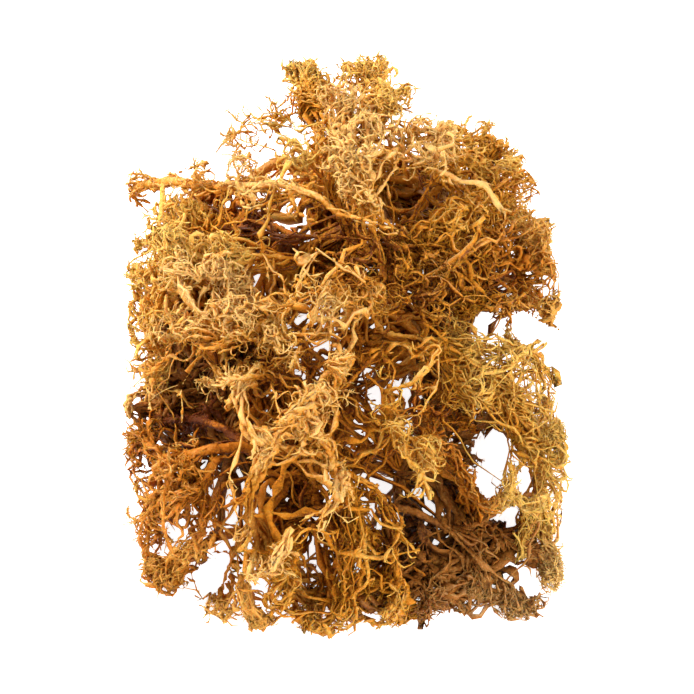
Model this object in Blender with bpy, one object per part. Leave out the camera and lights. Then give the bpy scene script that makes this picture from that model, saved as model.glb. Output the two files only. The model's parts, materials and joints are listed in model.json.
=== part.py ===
"""A clump of dried golden sea moss: separate branching fronds, tangled together and lying on a flat surface.

A frond is a stem and its main forks. Each of these limbs is one solid with its side twigs fused to it.
A fork stops just short of its stem, and limbs that cross keep a small gap. Lengths are in millimetres
until a mesh is made, and the clump stands on z = 0, centred on the origin.
"""

import math

import bmesh
import bpy
import numpy as np
from mathutils import Quaternion, Vector

MM = 0.001

# Driving dimensions, in millimetres
SPINE_STEP = 11.0  # length of one straight piece of a limb
BEAD_STEP = 2.5  # spacing of the beads that limbs are measured at while they are moved apart
LIMB_GAP = 1.3  # free space that limbs are moved apart to
ROOT_REACH = 7.0  # stretch at a fork's root that may be near its stem
TWIG_GAP = 0.9  # free space that a twig keeps from every other limb and twig
FORK_GAP = 0.4  # joint between a fork and its stem
TIP_SHARE = 0.55  # a limb's thickness at its tip, as a share of the thickness at its root
FORK_SHARE = 0.82  # a fork's thickness as a share of its stem's
TWIG_LENGTHS = (21.0, 12.0)  # the usual length, and the length where there is little room
TWIG_LENGTH_SPREAD = 0.1  # every second and third twig is shorter by this share, and by twice this share
TWIG_PIECES = 2  # straight pieces in one twig
TWIG_RADII = np.linspace(0.95, 0.55, TWIG_PIECES + 1)  # from its root to its tip
TWIG_SPACING = 19.0  # length of limb that carries one twig
TWIG_SETBACK = 0.25  # distance of the last twig from the limb's tip, as a share of a spine step
TWIG_BEAD_STEP = 1.0  # spacing of the beads that a twig's free space is measured at
TWIG_LEAN = math.radians(52)  # between a twig and the limb that it grows from
TWIG_CURL = math.radians(48)  # turn from one piece of a twig to the next
TWIG_ROLLS = 14  # directions round the limb that are tried for each twig
ROOM_ENOUGH = 7.0  # more free space than this counts as no better
GOLDEN_ANGLE = math.radians(137.5)
MOUND = (68, 88, 83)  # half width, half length and height of the rounded mound that twigs stay inside
MOUND_ROUNDNESS = 2.4  # 2 is an ellipsoid, and more is boxier
FLOOR_BITE = 0.3  # how far a limb that lies on the surface is pressed flat
EASE_ROUNDS = 90
EASE_STRENGTH = 0.3
SIDES_OF_A_LIMB = 1  # bevel resolution: 6 sides
SIDES_OF_A_TWIG = 0  # bevel resolution: 4 sides
SHARP_ANGLE = math.radians(75)  # steeper edges than this stay sharp

# Finishes: linear colour and roughness of each kind of dried frond
FINISHES = {
    "gold": ((0.46, 0.22, 0.045), 0.62),
    "amber": ((0.38, 0.145, 0.022), 0.58),
    "straw": ((0.60, 0.38, 0.13), 0.68),
    "russet": ((0.22, 0.085, 0.025), 0.66),
}

# Every frond: its finish, its stem's thickness, and the points that its limbs pass through.
# A fork's first point is moved onto its stem, and a point at height 0 is lifted to lie on the surface.
FRONDS = {
    "crown": ("gold", 3.0, {
        "stem": [(4, 14, 46), (-2, 28, 61), (-3, 46, 63), (-8, 66, 58), (-15, 84, 47)],
        "fork_right": [(-2, 38, 62), (8, 51, 62), (15, 68, 55), (6, 85, 45)],
        "fork_left": [(-5, 53, 61), (-14, 54, 61), (-24, 58, 56), (-32, 72, 48)],
    }),
    "summit": ("straw", 3.2, {
        "stem": [(17, 4, 54), (11, 11, 69), (5, 20, 77), (0, 32, 78), (-3, 44, 70)],
        "fork_right": [(8, 16, 74), (14, 28, 74), (19, 45, 67)],
    }),
    "runner": ("straw", 3.4, {
        "stem": [(-66, 46, 40), (-53, 40, 52), (-39, 30, 63), (-25, 24, 72), (-12, 20, 77), (0, 12, 72)],
        "fork_spray": [(-25, 24, 73), (-30, 36, 69), (-38, 52, 60)],
    }),
    "upper_right": ("gold", 2.8, {
        "stem": [(16, 8, 44), (21, 26, 57), (31, 44, 54), (43, 57, 44), (52, 53, 32)],
        "fork_top": [(24, 33, 57), (26, 50, 54), (37, 67, 44)],
        "fork_side": [(28, 41, 57), (38, 34, 50), (50, 36, 38)],
    }),
    "right_shoulder": ("amber", 3.0, {
        "stem": [(7, 2, 46), (22, 8, 56), (37, 15, 47), (50, 21, 34), (57, 20, 20)],
        "fork_inner": [(20, 8, 56), (28, 20, 52), (41, 25, 43)],
        "fork_low": [(29, 14, 52), (38, 8, 42), (52, 11, 28)],
    }),
    "left_shoulder": ("gold", 3.0, {
        "stem": [(-10, 12, 50), (-27, 7, 62), (-41, 6, 58), (-52, 4, 46), (-59, -4, 32)],
        "fork_top": [(-30, 6, 62), (-42, 20, 56), (-56, 32, 43)],
        "fork_edge": [(-48, 4, 51), (-56, 13, 44), (-62, 15, 32)],
    }),
    "left_flank": ("straw", 2.8, {
        "stem": [(-14, -4, 50), (-28, -6, 57), (-42, -8, 52), (-52, -14, 42), (-58, -22, 28)],
        "fork_low": [(-40, -7, 52), (-42, -18, 47), (-49, -27, 38)],
    }),
    "saddle": ("gold", 2.8, {
        "stem": [(-20, 20, 52), (-4, 13, 62), (12, 9, 64), (28, 8, 57), (40, 5, 44)],
        "fork_down": [(14, 8, 64), (13, -3, 61), (17, -12, 54)],
        "fork_up": [(22, 8, 60), (32, 21, 58), (44, 28, 50)],
    }),
    "ridge": ("straw", 3.0, {
        "stem": [(12, -6, 52), (3, -5, 65), (-8, -11, 70), (-18, -18, 68), (-28, -22, 62), (-38, -18, 57)],
        "fork_pale": [(-5, -9, 69), (-9, -21, 70), (-13, -28, 63)],
    }),
    "bundle": ("straw", 3.8, {
        "stem": [(3, -26, 58), (-8, -40, 60), (-18, -49, 57), (-24, -55, 47), (-27, -62, 35)],
        "fork_loop": [(-20, -50, 56), (-28, -46, 58), (-28, -35, 60), (-22, -28, 58)],
        "fork_arch": [(-14, -46, 58), (-6, -50, 56), (-1, -58, 49), (-6, -66, 41)],
    }),
    "gold_tuft": ("gold", 2.6, {
        "stem": [(-9, -38, 48), (1, -32, 55), (8, -25, 59), (18, -17, 54)],
        "fork_low": [(4, -30, 58), (12, -35, 57), (13, -44, 49)],
    }),
    "left_roll": ("amber", 4.0, {
        "stem": [(-21, -46, 34), (-32, -44, 42), (-43, -48, 42), (-53, -46, 36), (-57, -35, 29)],
        "fork_roll": [(-35, -45, 42), (-41, -54, 37), (-51, -56, 30), (-58, -51, 21)],
        "fork_foot": [(-45, -48, 41), (-40, -62, 28), (-46, -67, 12), (-55, -68, 0)],
        "fork_hollow": [(-28, -46, 40), (-37, -34, 35), (-48, -28, 26), (-58, -22, 14)],
    }),
    "right_arm": ("gold", 3.2, {
        "stem": [(12, -8, 42), (24, -14, 49), (37, -19, 46), (48, -24, 38), (55, -34, 26), (58, -50, 14)],
        "fork_tip": [(35, -18, 47), (46, -13, 42), (56, -8, 34)],
        "fork_drop": [(44, -22, 42), (48, -34, 34), (50, -45, 24), (54, -57, 12)],
    }),
    "orange_tuft": ("amber", 2.6, {
        "stem": [(6, -48, 36), (14, -42, 44), (23, -34, 46), (32, -29, 38)],
        "fork_net": [(19, -37, 46), (28, -43, 38), (36, -48, 27), (42, -52, 14)],
    }),
    "front_curl": ("gold", 3.0, {
        "stem": [(-14, -38, 42), (-3, -50, 44), (2, -61, 37), (-2, -69, 25), (2, -77, 12)],
        "fork_right": [(-1, -53, 44), (9, -57, 40), (15, -64, 30), (11, -72, 15)],
        "fork_left": [(2, -61, 38), (-8, -61, 32), (-18, -67, 25)],
    }),
    "front_foot": ("amber", 3.4, {
        "stem": [(-27, -52, 32), (-26, -63, 21), (-20, -71, 9), (-8, -74, 0), (9, -71, 0)],
        "fork_left": [(-26, -60, 25), (-33, -67, 13), (-37, -75, 0)],
    }),
    "lower_right": ("russet", 3.2, {
        "stem": [(10, -54, 22), (23, -58, 24), (34, -62, 16), (43, -68, 6), (53, -74, 0)],
        "fork_front": [(22, -58, 24), (25, -68, 12), (31, -77, 0)],
        "fork_side": [(33, -62, 17), (42, -56, 13), (53, -59, 5)],
    }),
    "right_edge": ("straw", 2.8, {
        "stem": [(50, -14, 20), (57, -28, 17), (60, -46, 9), (58, -66, 0)],
    }),
    "back_left": ("amber", 3.2, {
        "stem": [(-15, 24, 46), (-26, 36, 37), (-38, 48, 20), (-48, 58, 0)],
        "fork_side": [(-28, 38, 34), (-46, 34, 25), (-60, 32, 13)],
    }),
    "back_middle": ("gold", 3.2, {
        "stem": [(4, 26, 42), (-2, 44, 38), (-8, 62, 22), (-9, 76, 0)],
        "fork_right": [(-3, 48, 36), (11, 60, 25), (22, 70, 10)],
    }),
    "back_right": ("russet", 3.0, {
        "stem": [(14, 26, 36), (30, 42, 30), (39, 55, 14), (47, 64, 0)],
        "fork_side": [(28, 42, 30), (44, 36, 20), (59, 34, 8)],
    }),
    "under_left": ("russet", 3.4, {
        "stem": [(-30, -34, 16), (-42, -22, 7), (-53, -6, 0), (-56, 14, 0), (-49, 30, 8)],
        "fork_inner": [(-47, -13, 5), (-34, -2, 16), (-22, 13, 24)],
    }),
    "under_right": ("russet", 3.4, {
        "stem": [(16, -42, 14), (28, -28, 6), (38, -8, 0), (40, 10, 0), (34, 28, 12)],
        "fork_inner": [(35, -13, 4), (27, -2, 14), (18, 12, 26)],
    }),
    "under_middle": ("amber", 3.4, {
        "stem": [(-13, -55, 12), (-8, -34, 21), (4, -11, 28), (2, 13, 30), (-6, 34, 22)],
        "fork_left": [(-7, -30, 23), (-20, -16, 33), (-28, -2, 42)],
    }),
}


class Limb:
    """A stem or a fork: its centre line, its radius at each point, and the twigs that grow from it."""

    def __init__(self, name, finish, thickness, spine, stem=None):
        self.name = name
        self.finish = finish
        self.root_radius = thickness / 2
        self.spine = spine
        self.stem = stem
        self.twigs = []

    def radii(self):
        return np.linspace(self.root_radius, self.root_radius * TIP_SHARE, len(self.spine))

    def stay_above_ground(self):
        """Lifts the centre line where needed, so that the limb is pressed no deeper than the bite."""
        self.spine[:, 2] = np.maximum(self.spine[:, 2], self.radii() - FLOOR_BITE)


def smooth_line(corners, step):
    """Points about step apart along a smooth curve through the corners."""
    corners = np.array(corners, float)
    padded = np.vstack([2 * corners[0] - corners[1], corners, 2 * corners[-1] - corners[-2]])
    dense = []
    for before, a, b, after in zip(padded, padded[1:], padded[2:], padded[3:]):
        for t in np.linspace(0, 1, 24, endpoint=False):
            bend = 2 * before - 5 * a + 4 * b - after
            twist = 3 * a - before - 3 * b + after
            dense.append(0.5 * (2 * a + (b - before) * t + bend * t**2 + twist * t**3))
    return evenly_spaced(np.vstack([dense, corners[-1]]), step)


def evenly_spaced(line, step):
    """The same line with its points about step apart."""
    along = np.concatenate([[0], np.cumsum(np.linalg.norm(np.diff(line, axis=0), axis=1))])
    count = max(3, round(along[-1] / step) + 1)
    places = np.linspace(0, along[-1], count)
    return np.column_stack([np.interp(places, along, line[:, k]) for k in range(3)])


def plan_limbs():
    """All limbs along their smooth curves, each fork knowing the stem that it starts on."""
    limbs = []
    for frond, (finish, thickness, lines) in FRONDS.items():
        stem = None
        for part, corners in lines.items():
            share = 1 if stem is None else FORK_SHARE
            limb = Limb(f"{frond}_{part}", finish, thickness * share, smooth_line(corners, SPINE_STEP), stem)
            limb.stay_above_ground()
            stem = stem or limb
            limbs.append(limb)
    return limbs


class Beads:
    """A row of beads along one limb, which follow the limb's spine when it moves."""

    def __init__(self, limb):
        self.limb = limb
        self.length = np.linalg.norm(np.diff(limb.spine, axis=0), axis=1).sum()
        places = np.linspace(0, len(limb.spine) - 1, max(4, round(self.length / BEAD_STEP)))
        corners = np.arange(len(limb.spine))
        self.share = np.clip(1 - np.abs(places[:, None] - corners[None, :]), 0, 1)
        self.radii = np.interp(places, corners, limb.radii())
        self.stem_bead = None

    def places(self):
        return self.share @ self.limb.spine


def ease_apart(limbs):
    """Moves limbs that run into each other apart, a little at a time. A fork keeps its place on its stem."""
    rows = [Beads(limb) for limb in limbs]
    row_of = {row.limb: row for row in rows}
    owner = np.concatenate([np.full(len(row.radii), k) for k, row in enumerate(rows)])
    order = np.concatenate([np.arange(len(row.radii)) for row in rows])
    radii = np.concatenate([row.radii for row in rows])
    wanted = radii[:, None] + radii[None, :] + LIMB_GAP
    wanted[owner[:, None] == owner[None, :]] = 0
    for k, row in enumerate(rows):
        if row.limb.stem:
            stem_row = row_of[row.limb.stem]
            row.stem_bead = np.linalg.norm(stem_row.places() - row.limb.spine[0], axis=1).argmin()
            near_root = (owner == k) & (order * BEAD_STEP < ROOT_REACH)
            on_stem = owner == rows.index(stem_row)
            wanted[np.ix_(near_root, on_stem)] = 0
            wanted[np.ix_(on_stem, near_root)] = 0
    for _ in range(EASE_ROUNDS):
        places = np.vstack([row.places() for row in rows])
        apart = places[:, None] - places[None, :]
        distance = np.linalg.norm(apart, axis=2) + 1e-9
        push = np.clip(wanted - distance, 0, None) / distance * EASE_STRENGTH
        moves = (apart * push[:, :, None]).sum(axis=1)
        for k, row in enumerate(rows):
            row.limb.spine += row.share.T @ moves[owner == k] / row.share.sum(axis=0)[:, None]
            row.limb.stay_above_ground()
        for row in rows:
            if row.limb.stem:
                row.limb.spine[0] = row_of[row.limb.stem].places()[row.stem_bead]


def free_space(beads, bead_radii, pieces):
    """The smallest gap between round beads and the tapered straight pieces around them."""
    starts, ends, thick_starts, thick_ends = pieces
    runs = ends - starts
    offsets = beads[:, None] - starts[None, :]
    shares = np.clip((offsets * runs).sum(axis=2) / (runs * runs).sum(axis=1), 0, 1)
    gaps = np.linalg.norm(offsets - shares[:, :, None] * runs, axis=2)
    gaps -= bead_radii[:, None] + thick_starts + (thick_ends - thick_starts) * shares
    return min(ROOM_ENOUGH, gaps.min())


def pieces_of(line, radii):
    """The straight pieces of a line: their starts, their ends, and the radius at each."""
    return [line[:-1], line[1:], radii[:-1], radii[1:]]


def together(groups):
    """Several groups of straight pieces as one."""
    return [np.concatenate(column) for column in zip(*groups)]


def twig_line(root, heading, roll, bend, length):
    """A short line that leaves the limb at an angle and curls."""
    side = roll @ heading.orthogonal().normalized()
    direction = (heading * math.cos(TWIG_LEAN) + side * math.sin(TWIG_LEAN)).normalized()
    turn = Quaternion((side.cross(heading) + heading * bend).normalized(), TWIG_CURL)
    points = [Vector(root)]
    for _ in range(TWIG_PIECES):
        points.append(points[-1] + direction * (length / TWIG_PIECES))
        direction = turn @ direction
    return np.array(points)


def best_twig(root, heading, count_so_far, obstacles):
    """The twig with the most room around it, of those that fit, or None. Shorter ones are a second choice."""
    first_roll = GOLDEN_ANGLE * 3 * count_so_far
    bend = math.sin(2 * count_so_far)
    for length in TWIG_LENGTHS:
        length *= 1 - TWIG_LENGTH_SPREAD * (count_so_far % 3)
        best_room, best_line = TWIG_GAP, None
        for attempt in range(TWIG_ROLLS):
            roll = Quaternion(heading, first_roll + GOLDEN_ANGLE * attempt)
            line = twig_line(root, heading, roll, bend, length)
            beads = evenly_spaced(line, TWIG_BEAD_STEP)
            outside = (np.abs(line[-1] / MOUND) ** MOUND_ROUNDNESS).sum() > 1
            if outside or beads[2:, 2].min() < TWIG_RADII[0] + FLOOR_BITE:
                continue
            bead_radii = np.linspace(TWIG_RADII[0], TWIG_RADII[-1], len(beads))
            room = free_space(beads, bead_radii, obstacles)
            if room > best_room:
                best_room, best_line = room, line
        if best_line is not None:
            return best_line
    return None


def grow_twigs(limbs):
    """Gives each limb its twigs, spaced out along it and kept clear of all the others."""
    taken = {limb.name: pieces_of(limb.spine, limb.radii()) for limb in limbs}
    grown = 0
    for limb in limbs:
        elsewhere = together([group for name, group in taken.items() if name != limb.name])
        length = np.linalg.norm(np.diff(limb.spine, axis=0), axis=1).sum()
        count = max(2, round(length / TWIG_SPACING))
        for place in np.linspace(0, len(limb.spine) - 1, count + 1)[1:] - TWIG_SETBACK:
            before = int(place)
            step = limb.spine[before + 1] - limb.spine[before]
            root = limb.spine[before] + (place - before) * step
            obstacles = together([elsewhere] + [pieces_of(line, TWIG_RADII) for line in limb.twigs])
            line = best_twig(root, Vector(step).normalized(), grown, obstacles)
            grown += 1
            if line is not None:
                limb.twigs.append(line)
        taken[limb.name] = together([taken[limb.name]] + [pieces_of(line, TWIG_RADII) for line in limb.twigs])


def tube(name, line, radii, resolution):
    """A closed mesh tube along the line, from a bevelled curve with its caps welded on."""
    curve = bpy.data.curves.new(name, "CURVE")
    curve.dimensions = "3D"
    curve.bevel_depth = MM
    curve.bevel_resolution = resolution
    curve.use_fill_caps = True
    spline = curve.splines.new("POLY")
    spline.points.add(len(line) - 1)
    for point, place, radius in zip(spline.points, line, radii):
        point.co = (*(Vector(place) * MM), 1)
        point.radius = radius
    drawn = bpy.data.objects.new(name, curve)
    bpy.context.collection.objects.link(drawn)
    solid = as_mesh(drawn)
    work = bmesh.new()
    work.from_mesh(solid.data)
    bmesh.ops.remove_doubles(work, verts=work.verts, dist=0.001 * MM)
    bmesh.ops.recalc_face_normals(work, faces=work.faces)
    work.to_mesh(solid.data)
    work.free()
    return solid


def as_mesh(source):
    """Replaces an object with the plain mesh that it evaluates to."""
    graph = bpy.context.evaluated_depsgraph_get()
    mesh = bpy.data.meshes.new_from_object(source.evaluated_get(graph))
    name = source.name
    bpy.data.objects.remove(source)
    made = bpy.data.objects.new(name, mesh)
    bpy.context.collection.objects.link(made)
    return made


def combine(target, others, operation):
    """Joins the others to the target, or cuts them from it, and removes them."""
    for other in others:
        modifier = target.modifiers.new(other.name, "BOOLEAN")
        modifier.operation = operation
        modifier.object = other
    result = as_mesh(target)
    for other in others:
        bpy.data.objects.remove(other)
    return result


def ground_block():
    """A block under the surface that the clump lies on, for pressing flat what rests there."""
    size = 4 * max(MOUND) * MM
    bpy.ops.mesh.primitive_cube_add(size=size, location=(0, 0, -size / 2))
    block = bpy.context.object
    block.name = "ground_block"
    return block


def keep_largest_body(solid):
    """Removes the bits that a cut leaves loose."""
    work = bmesh.new()
    work.from_mesh(solid.data)
    left = set(work.verts)
    bodies = []
    while left:
        body, front = set(), [next(iter(left))]
        while front:
            vertex = front.pop()
            if vertex in left:
                left.remove(vertex)
                body.add(vertex)
                front += [edge.other_vert(vertex) for edge in vertex.link_edges]
        bodies.append(body)
    bodies.sort(key=len)
    for body in bodies[:-1]:
        bmesh.ops.delete(work, geom=list(body), context="VERTS")
    work.to_mesh(solid.data)
    work.free()


def build_limb(limb):
    """One limb with its twigs fused on, its root cut back from its stem and its underside pressed flat."""
    body = tube(limb.name, limb.spine, limb.radii(), SIDES_OF_A_LIMB)
    twigs = [tube("twig", line, TWIG_RADII, SIDES_OF_A_TWIG) for line in limb.twigs]
    body = combine(body, twigs, "UNION")
    if limb.stem:
        stem = limb.stem
        clearance = tube("clearance", stem.spine, stem.radii() + FORK_GAP, SIDES_OF_A_LIMB)
        body = combine(body, [clearance], "DIFFERENCE")
    if min(corner[2] for corner in body.bound_box) < 0:
        body = combine(body, [ground_block()], "DIFFERENCE")
    keep_largest_body(body)
    body.data.shade_smooth()
    body.data.set_sharp_from_angle(angle=SHARP_ANGLE)
    return body


def finish_material(name):
    """A plain dried-seaweed finish."""
    material = bpy.data.materials.get(name)
    if material is None:
        colour, roughness = FINISHES[name]
        material = bpy.data.materials.new(name)
        material.use_nodes = True
        shader = material.node_tree.nodes["Principled BSDF"]
        shader.inputs["Base Color"].default_value = (*colour, 1)
        shader.inputs["Roughness"].default_value = roughness
        shader.inputs["Metallic"].default_value = 0.0
        material.diffuse_color = (*colour, 1)
    return material


def centre_on_origin(solids):
    """Moves the clump sideways so that the middle of its box is at the origin."""
    corners = np.array([corner for solid in solids for corner in solid.bound_box])
    middle = (corners.min(axis=0) + corners.max(axis=0)) / 2
    for solid in solids:
        for vertex in solid.data.vertices:
            vertex.co.x -= middle[0]
            vertex.co.y -= middle[1]


def main():
    for old in list(bpy.data.objects):
        bpy.data.objects.remove(old)
    clump = bpy.data.collections.new("sea_moss")
    bpy.context.scene.collection.children.link(clump)
    layer = bpy.context.view_layer.layer_collection.children[clump.name]
    bpy.context.view_layer.active_layer_collection = layer
    limbs = plan_limbs()
    ease_apart(limbs)
    grow_twigs(limbs)
    solids = []
    for limb in limbs:
        solid = build_limb(limb)
        solid.data.materials.clear()
        solid.data.materials.append(finish_material(limb.finish))
        solids.append(solid)
    centre_on_origin(solids)


if __name__ == "__main__":
    main()
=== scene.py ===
"""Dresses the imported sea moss: skins on its limbs, joined curling strands, finishes and a stage."""

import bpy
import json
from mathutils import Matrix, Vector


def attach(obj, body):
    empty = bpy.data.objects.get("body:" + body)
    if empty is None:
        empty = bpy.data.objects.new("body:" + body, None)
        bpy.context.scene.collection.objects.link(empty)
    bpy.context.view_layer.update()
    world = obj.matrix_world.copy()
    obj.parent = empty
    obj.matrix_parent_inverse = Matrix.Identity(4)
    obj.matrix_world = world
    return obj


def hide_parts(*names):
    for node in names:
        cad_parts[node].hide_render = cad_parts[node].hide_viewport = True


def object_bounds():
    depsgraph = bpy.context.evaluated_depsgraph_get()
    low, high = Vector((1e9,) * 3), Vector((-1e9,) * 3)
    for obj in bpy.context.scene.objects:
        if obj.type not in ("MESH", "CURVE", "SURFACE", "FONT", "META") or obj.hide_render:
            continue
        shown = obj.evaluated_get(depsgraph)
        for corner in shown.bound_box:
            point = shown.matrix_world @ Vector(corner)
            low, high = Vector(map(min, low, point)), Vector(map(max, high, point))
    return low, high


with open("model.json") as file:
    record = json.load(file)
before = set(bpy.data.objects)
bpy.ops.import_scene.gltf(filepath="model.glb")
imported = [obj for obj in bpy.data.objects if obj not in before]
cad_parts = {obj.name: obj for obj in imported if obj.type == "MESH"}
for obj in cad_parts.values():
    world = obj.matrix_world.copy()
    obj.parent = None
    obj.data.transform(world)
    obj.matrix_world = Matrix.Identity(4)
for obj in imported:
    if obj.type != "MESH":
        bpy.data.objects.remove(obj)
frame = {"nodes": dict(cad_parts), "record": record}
CAD_BOX = [list(corner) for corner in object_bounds()]

import json
import math
import zlib
from typing import NamedTuple

import bpy
import numpy as np
from bpy.props import FloatProperty, FloatVectorProperty, IntProperty, PointerProperty
from mathutils import Vector

bl_info = {
    "name": "Dried sea moss",
    "version": (1, 0, 0),
    "blender": (4, 5, 0),
    "location": "View3D > Sidebar > Sea moss",
    "description": "Grows skins and curling strands on the fronds of a clump of dried sea moss",
    "category": "Object",
}

# Skins and strands are worked out in millimetres, and become metres when a mesh is made.
MM = 0.001


class Habit(NamedTuple):
    """How a frond is dressed."""

    crowd: float  # strands that grow from each square centimetre of the solid
    cords: float  # cords that lie along each square centimetre
    bridges: float  # strands that cross from each square centimetre to other limbs
    own: float  # share of the bridges that stay on their own frond
    length: float  # of the strands, beside the settings'
    thickness: float  # of the strands, beside the settings'
    curl: float  # of the strands, beside the settings'
    combing: float  # how closely the strands run along their limb
    stem: float  # how far the skin stands out from the solid
    twigs: int = 3  # on each strand
    ceiling: float = math.inf  # bridges to other fronds fill the clump up to this height


# Each in the order crowd, cords, bridges, own, length, thickness, curl, combing and stem.
HABITS = {
    "bushy": Habit(9, 2, 6, 0.5, 1.0, 0.85, 1.0, 0.35, -0.4),
    "combed": Habit(11, 8, 8, 1.0, 1.4, 0.6, 0.45, 1.0, -0.5),
    "ropy": Habit(6, 4, 8, 0.8, 1.0, 0.9, 0.8, 0.8, 0.05),
    "corded": Habit(5, 15, 3, 1.0, 0.9, 0.85, 0.9, 0.8, -0.1),
    "looped": Habit(8, 5, 6, 0.6, 1.2, 0.9, 1.0, 0.7, -0.1),
    "bare": Habit(2.5, 1, 1, 1.0, 0.6, 0.7, 1.0, 0.4, 0.25, twigs=2),
    "wispy": Habit(3, 1, 1, 1.0, 1.1, 0.5, 1.0, 0.4, -0.6),
    "low": Habit(3, 1, 13, 0.1, 1.05, 0.9, 0.8, 0.4, -0.3, ceiling=20),
}

# Each frond's habit, and how far it is paler or darker than its finish: partly the frond's own colour, and
# partly painted shade and light, darker for fronds in hollows and paler for fronds that stand out. A longer
# name goes first.
FRONDS = {
    "crown": ("bushy", 0.1),
    "crown_fork_left": ("wispy", 0.2),
    "summit": ("bushy", 0.2),
    "runner": ("bare", 0.15),
    "runner_fork_spray": ("wispy", 0.2),
    "upper_right": ("bushy", 0.05),
    "right_shoulder": ("bushy", 0.0),
    "right_shoulder_fork_low": ("bushy", 0.4),
    "left_shoulder": ("bushy", 0.25),
    "left_flank": ("bushy", 0.2),
    "saddle": ("bushy", -0.2),
    "ridge": ("bushy", 0.0),
    "bundle": ("corded", 0.15),
    "gold_tuft": ("looped", -0.05),
    "left_roll": ("ropy", 0.0),
    "left_roll_fork_hollow": ("ropy", -0.3),
    "left_roll_fork_foot": ("ropy", 0.1),
    "right_arm": ("combed", 0.25),
    "orange_tuft": ("bushy", 0.0),
    "front_curl": ("looped", 0.0),
    "front_foot": ("looped", 0.3),
    "lower_right": ("low", -0.1),
    "lower_right_stem": ("ropy", 0.05),
    "right_edge": ("combed", 0.35),
    "back_left": ("low", 0.0),
    "back_middle": ("low", 0.0),
    "back_right": ("low", 0.0),
    "under_left": ("low", 0.0),
    "under_right": ("low", 0.0),
    "under_middle": ("low", 0.0),
}

# The finishes, each with its dark, middle and light colour; the colour group mixes them by random tone and
# by painted shade and painted light.
FINISHES = {
    "gold": ((0.16, 0.038, 0.002), (0.67, 0.24, 0.012), (0.91, 0.50, 0.10)),
    "amber": ((0.12, 0.024, 0.001), (0.55, 0.168, 0.008), (0.84, 0.39, 0.07)),
    "straw": ((0.19, 0.050, 0.004), (0.70, 0.26, 0.020), (0.92, 0.51, 0.15)),
    "russet": ((0.055, 0.014, 0.002), (0.29, 0.098, 0.012), (0.58, 0.28, 0.08)),
}


class Kind(NamedTuple):
    """How a strand grows."""

    steps: int  # straight pieces of its tube
    tip: float  # its thickness at the tip, beside its root's
    curl: float  # beside its habit's
    hook: float  # how much of the curl is at the tip
    kink: float  # random turn, in radians for each millimetre
    twist: float  # random roll, in radians for each millimetre
    follow: float  # how firmly it is led along its limb
    reach: float  # how far from the limb it may go
    daring: float  # the share of the light at which it turns back
    flat: tuple = (0.5, 1.0)  # the range of its tube's flatness


STRAND = Kind(9, tip=0.5, curl=1.0, hook=0.7, kink=0.13, twist=0.08, follow=0.16, reach=8, daring=0.82)
TWIG = Kind(6, tip=0.4, curl=3.0, hook=0.6, kink=0.18, twist=0.12, follow=0.04, reach=10, daring=0.86)
SPUR = Kind(2, tip=0.35, curl=2.6, hook=0.3, kink=0.15, twist=0.1, follow=0.0, reach=12, daring=0.9)
CORD = Kind(
    9, tip=0.6, curl=0.25, hook=0.4, kink=0.12, twist=0.12, follow=0.8, reach=2.5, daring=0.95,
    flat=(0.6, 1.0),
)


class Branching(NamedTuple):
    """How branches sit on their parents."""

    kind: Kind
    length: float  # beside the usual length of a twig or a spur
    thickness: float  # beside the parent's
    first: float  # the stretch of the parent that carries them, as shares of its length
    last: float
    lean: float  # the angle to the parent, in radians


TWIGS = Branching(TWIG, length=1.0, thickness=0.75, first=0.15, last=0.95, lean=0.7)
SPURS = Branching(SPUR, length=1.0, thickness=0.7, first=0.3, last=1.0, lean=0.9)
TIPS = Branching(SPUR, length=1.0, thickness=0.9, first=0.35, last=0.95, lean=0.85)
HOOKS = Branching(TWIG, length=0.8, thickness=0.75, first=0.1, last=0.95, lean=0.7)
BARBS = Branching(SPUR, length=1.0, thickness=0.7, first=0.1, last=0.95, lean=0.9)
HOOKS_EACH = 3
BARBS_EACH = 3

# Spikes on each main strand, twig, cord and bridge.
STRAND_SPIKES = 5
TWIG_SPIKES = 2
CORD_SPIKES = 4
BRIDGE_SPIKES = 6
THICKEST_SPIKE = 0.38

# The share of the light above which strands, twigs and bridges branch on.
SEEN_STRAND = 0.15
SEEN_TWIG = 0.33
SEEN_BRIDGE = 0.38

SKIN_VOXEL = 0.95
SKIN_BUMPS = 0.55  # height of the wrinkles on each side of the skin
WRINKLE_SIZE = 1.6
FLOOR_CLEARANCE = 0.08  # under the lowest strands
TUBE_CORNERS = 3
LUMPINESS = 0.3  # spread of a strand's thickness from step to step
CRUMPLE = 0.4  # spread of the corners of a tube
CRUMPLE_RANGE = (0.45, 1.7)
WOBBLE = 0.1  # spread of a strand's path
SHARPEST_BEND = 0.8  # at one step, in radians

# What keeps strands in place: pushes for each millimetre, and where they start.
STEERING = 0.45
WISPS = 0.04  # share of the strands that dare to leave the crowd
WISP_DARING = 0.4
DRIFT = 0.035  # how far strands go with the flow that they share, for each millimetre
FLOOR_REACH = 2.2  # strands turn up below this height
EDGE_ROOM = np.array((1.5, 5.0, 4.0))  # how far strands may stand out of the solids' box
EDGE_REACH = 4  # and where they start to turn back
OPENING_MARGIN = 2.5  # strands turn away this far from an opening
OPENING_CORE = 0.8  # share of an opening's radius that stays free
HOLLOW_STRAYS = 0.78  # a strand crosses a hollow if its chance is above this

# How bridges run.
BRIDGE_STEPS = 12
BRIDGE_SPAN = 1.6  # beside the length of a strand
BRIDGE_BOW = 0.10  # as a share of the span
BRIDGE_WAVE = 9.0  # length of one wave
MOST_WAVES = 2.6
WAVE_HEIGHT = 1.2

# A bridge is rounded where its turn between two long steps has a cosine under that of a sharp corner.
SHARP_CORNER = 0.6
LONG_STEP = 2.9
ROUNDINGS = 2

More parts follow.
